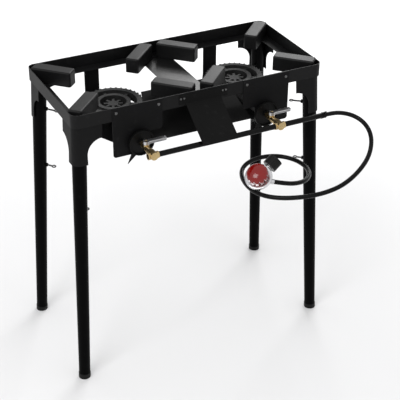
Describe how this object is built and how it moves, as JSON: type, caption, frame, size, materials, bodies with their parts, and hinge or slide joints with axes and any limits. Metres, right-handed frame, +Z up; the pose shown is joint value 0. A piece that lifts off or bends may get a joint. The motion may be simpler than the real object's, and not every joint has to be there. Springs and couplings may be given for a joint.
{
  "type": "propane burner stand",
  "caption": "Outdoor propane stove: a rectangular rail frame on splayed tube legs, with cast ring burners side by side, pot fingers, brass valves, manifold, hose and regulator.",
  "frame": {"origin": "on the floor, at the middle of the stand's bounding box, hose and regulator left out", "axes": "+X along the frame to the right as seen from the valves, +Y to the back, +Z up"},
  "size_m": [0.8648, 0.6832, 0.8725],
  "materials": {
    "frame_paint": "satin black powder coat",
    "bracket_paint": "satin black powder coat",
    "screw_steel": "zinc plated",
    "strip_enamel": "gloss black enamel",
    "shield_paint": "matt black",
    "deflector_enamel": "gloss black enamel",
    "pipe_paint": "gloss black",
    "hose_rubber": "smooth black rubber",
    "regulator_metal": "bright die casting",
    "knob_red": "gloss red",
    "nut_plastic": "ribbed black",
    "burner_iron": "painted casting",
    "carrier_paint": "matt black",
    "panel_paint": "satin black powder coat",
    "valve_brass": "machined brass",
    "shutter_paint": "matt black",
    "lever_metal": "cast and tumbled",
    "finger_enamel": "satin black enamel",
    "leg_paint": "satin black powder coat",
    "foot_plastic": "moulded black",
    "wire_steel": "zinc plated wire"
  },
  "bodies": {
    "stand": {"rail_frame": "frame_paint", "rail_screws": "screw_steel", "centre_strip": "strip_enamel", "front_shield": "shield_paint", "heat_deflector": "deflector_enamel", "burner_bolts": "screw_steel", "manifold_pipe": "pipe_paint", "hose_clamp": "pipe_paint", "hose": "hose_rubber", "regulator_body": "regulator_metal", "front_left_corner_bracket": "bracket_paint", "front_right_corner_bracket": "bracket_paint", "back_left_corner_bracket": "bracket_paint", "back_right_corner_bracket": "bracket_paint", "left_burner": "burner_iron", "left_burner_carrier": "carrier_paint", "left_control_panel": "panel_paint", "left_gas_valve": "valve_brass", "left_burner_finger_front_left": "finger_enamel", "left_burner_finger_front_right": "finger_enamel", "left_burner_finger_back_left": "finger_enamel", "left_burner_finger_back_right": "finger_enamel", "right_burner": "burner_iron", "right_burner_carrier": "carrier_paint", "right_control_panel": "panel_paint", "right_gas_valve": "valve_brass", "right_burner_finger_front_left": "finger_enamel", "right_burner_finger_front_right": "finger_enamel", "right_burner_finger_back_left": "finger_enamel", "right_burner_finger_back_right": "finger_enamel"},
    "left_air_shutter": {"left_air_shutter": "shutter_paint"},
    "left_valve_lever": {"left_valve_lever": "lever_metal"},
    "right_air_shutter": {"right_air_shutter": "shutter_paint"},
    "right_valve_lever": {"right_valve_lever": "lever_metal"},
    "regulator_knob": {"regulator_knob": "knob_red"},
    "tank_nut": {"tank_nut": "nut_plastic"},
    "front_left_upper_leg": {"front_left_upper_leg": "leg_paint"},
    "front_left_upper_thumb_screw": {"front_left_upper_thumb_screw": "wire_steel"},
    "front_left_middle_thumb_screw": {"front_left_middle_thumb_screw": "wire_steel"},
    "front_left_lower_leg": {"front_left_lower_leg": "leg_paint", "front_left_foot_cap": "foot_plastic"},
    "front_right_upper_leg": {"front_right_upper_leg": "leg_paint"},
    "front_right_upper_thumb_screw": {"front_right_upper_thumb_screw": "wire_steel"},
    "front_right_middle_thumb_screw": {"front_right_middle_thumb_screw": "wire_steel"},
    "front_right_lower_leg": {"front_right_lower_leg": "leg_paint", "front_right_foot_cap": "foot_plastic"},
    "back_left_upper_leg": {"back_left_upper_leg": "leg_paint"},
    "back_left_upper_thumb_screw": {"back_left_upper_thumb_screw": "wire_steel"},
    "back_left_middle_thumb_screw": {"back_left_middle_thumb_screw": "wire_steel"},
    "back_left_lower_leg": {"back_left_lower_leg": "leg_paint", "back_left_foot_cap": "foot_plastic"},
    "back_right_upper_leg": {"back_right_upper_leg": "leg_paint"},
    "back_right_upper_thumb_screw": {"back_right_upper_thumb_screw": "wire_steel"},
    "back_right_middle_thumb_screw": {"back_right_middle_thumb_screw": "wire_steel"},
    "back_right_lower_leg": {"back_right_lower_leg": "leg_paint", "back_right_foot_cap": "foot_plastic"}
  },
  "joints": [
    {"name": "left_air_shutter_turn", "type": "hinge", "parent": "stand", "child": "left_air_shutter", "pos_m": [-0.1946, -0.15101, 0.753], "axis": [0, -1, 0], "continuous": true},
    {"name": "left_valve_turn", "type": "hinge", "parent": "stand", "child": "left_valve_lever", "pos_m": [-0.1946, -0.18201, 0.769], "axis": [0, 0, 1], "range_deg": [-90, 0]},
    {"name": "right_air_shutter_turn", "type": "hinge", "parent": "stand", "child": "right_air_shutter", "pos_m": [0.1946, -0.15101, 0.753], "axis": [0, -1, 0], "continuous": true},
    {"name": "right_valve_turn", "type": "hinge", "parent": "stand", "child": "right_valve_lever", "pos_m": [0.1946, -0.18201, 0.769], "axis": [0, 0, 1], "range_deg": [-90, 0]},
    {"name": "regulator_knob_turn", "type": "hinge", "parent": "stand", "child": "regulator_knob", "pos_m": [0.08811, -0.29504, 0.65831], "axis": [-0.4556, -0.4017, 0.7944], "range_deg": [0, 1080]},
    {"name": "tank_nut_turn", "type": "hinge", "parent": "stand", "child": "tank_nut", "pos_m": [0.14296, -0.27735, 0.66598], "axis": [0.827, 0.1393, 0.5447], "continuous": true},
    {"name": "front_left_upper_leg_slide", "type": "slide", "parent": "stand", "child": "front_left_upper_leg", "axis": [-0.0439, -0.0412, -0.9982], "range_m": [0, 0.105]},
    {"name": "front_left_lower_leg_slide", "type": "slide", "parent": "front_left_upper_leg", "child": "front_left_lower_leg", "axis": [-0.0439, -0.0412, -0.9982], "range_m": [0, 0.06]},
    {"name": "front_left_upper_thumb_screw_turn", "type": "hinge", "parent": "front_left_upper_leg", "child": "front_left_upper_thumb_screw", "pos_m": [-0.34108, -0.09234, 0.73536], "axis": [0.7057, 0.7059, -0.0602], "range_deg": [0, 1080]},
    {"name": "front_left_middle_thumb_screw_turn", "type": "hinge", "parent": "front_left_upper_leg", "child": "front_left_middle_thumb_screw", "pos_m": [-0.34939, -0.10012, 0.5467], "axis": [0.7057, 0.7059, -0.0602], "range_deg": [0, 1080]},
    {"name": "front_right_upper_leg_slide", "type": "slide", "parent": "stand", "child": "front_right_upper_leg", "axis": [0.0439, -0.0412, -0.9982], "range_m": [0, 0.105]},
    {"name": "front_right_lower_leg_slide", "type": "slide", "parent": "front_right_upper_leg", "child": "front_right_lower_leg", "axis": [0.0439, -0.0412, -0.9982], "range_m": [0, 0.06]},
    {"name": "front_right_upper_thumb_screw_turn", "type": "hinge", "parent": "front_right_upper_leg", "child": "front_right_upper_thumb_screw", "pos_m": [0.34108, -0.09234, 0.73536], "axis": [-0.7057, 0.7059, -0.0602], "range_deg": [0, 1080]},
    {"name": "front_right_middle_thumb_screw_turn", "type": "hinge", "parent": "front_right_upper_leg", "child": "front_right_middle_thumb_screw", "pos_m": [0.34939, -0.10012, 0.5467], "axis": [-0.7057, 0.7059, -0.0602], "range_deg": [0, 1080]},
    {"name": "back_left_upper_leg_slide", "type": "slide", "parent": "stand", "child": "back_left_upper_leg", "axis": [-0.0439, 0.0412, -0.9982], "range_m": [0, 0.105]},
    {"name": "back_left_lower_leg_slide", "type": "slide", "parent": "back_left_upper_leg", "child": "back_left_lower_leg", "axis": [-0.0439, 0.0412, -0.9982], "range_m": [0, 0.06]},
    {"name": "back_left_upper_thumb_screw_turn", "type": "hinge", "parent": "back_left_upper_leg", "child": "back_left_upper_thumb_screw", "pos_m": [-0.34108, 0.17831, 0.73536], "axis": [0.7057, -0.7059, -0.0602], "range_deg": [0, 1080]},
    {"name": "back_left_middle_thumb_screw_turn", "type": "hinge", "parent": "back_left_upper_leg", "child": "back_left_middle_thumb_screw", "pos_m": [-0.34939, 0.18609, 0.5467], "axis": [0.7057, -0.7059, -0.0602], "range_deg": [0, 1080]},
    {"name": "back_right_upper_leg_slide", "type": "slide", "parent": "stand", "child": "back_right_upper_leg", "axis": [0.0439, 0.0412, -0.9982], "range_m": [0, 0.105]},
    {"name": "back_right_lower_leg_slide", "type": "slide", "parent": "back_right_upper_leg", "child": "back_right_lower_leg", "axis": [0.0439, 0.0412, -0.9982], "range_m": [0, 0.06]},
    {"name": "back_right_upper_thumb_screw_turn", "type": "hinge", "parent": "back_right_upper_leg", "child": "back_right_upper_thumb_screw", "pos_m": [0.34108, 0.17831, 0.73536], "axis": [-0.7057, -0.7059, -0.0602], "range_deg": [0, 1080]},
    {"name": "back_right_middle_thumb_screw_turn", "type": "hinge", "parent": "back_right_upper_leg", "child": "back_right_middle_thumb_screw", "pos_m": [0.34939, 0.18609, 0.5467], "axis": [-0.7057, -0.7059, -0.0602], "range_deg": [0, 1080]}
  ]
}
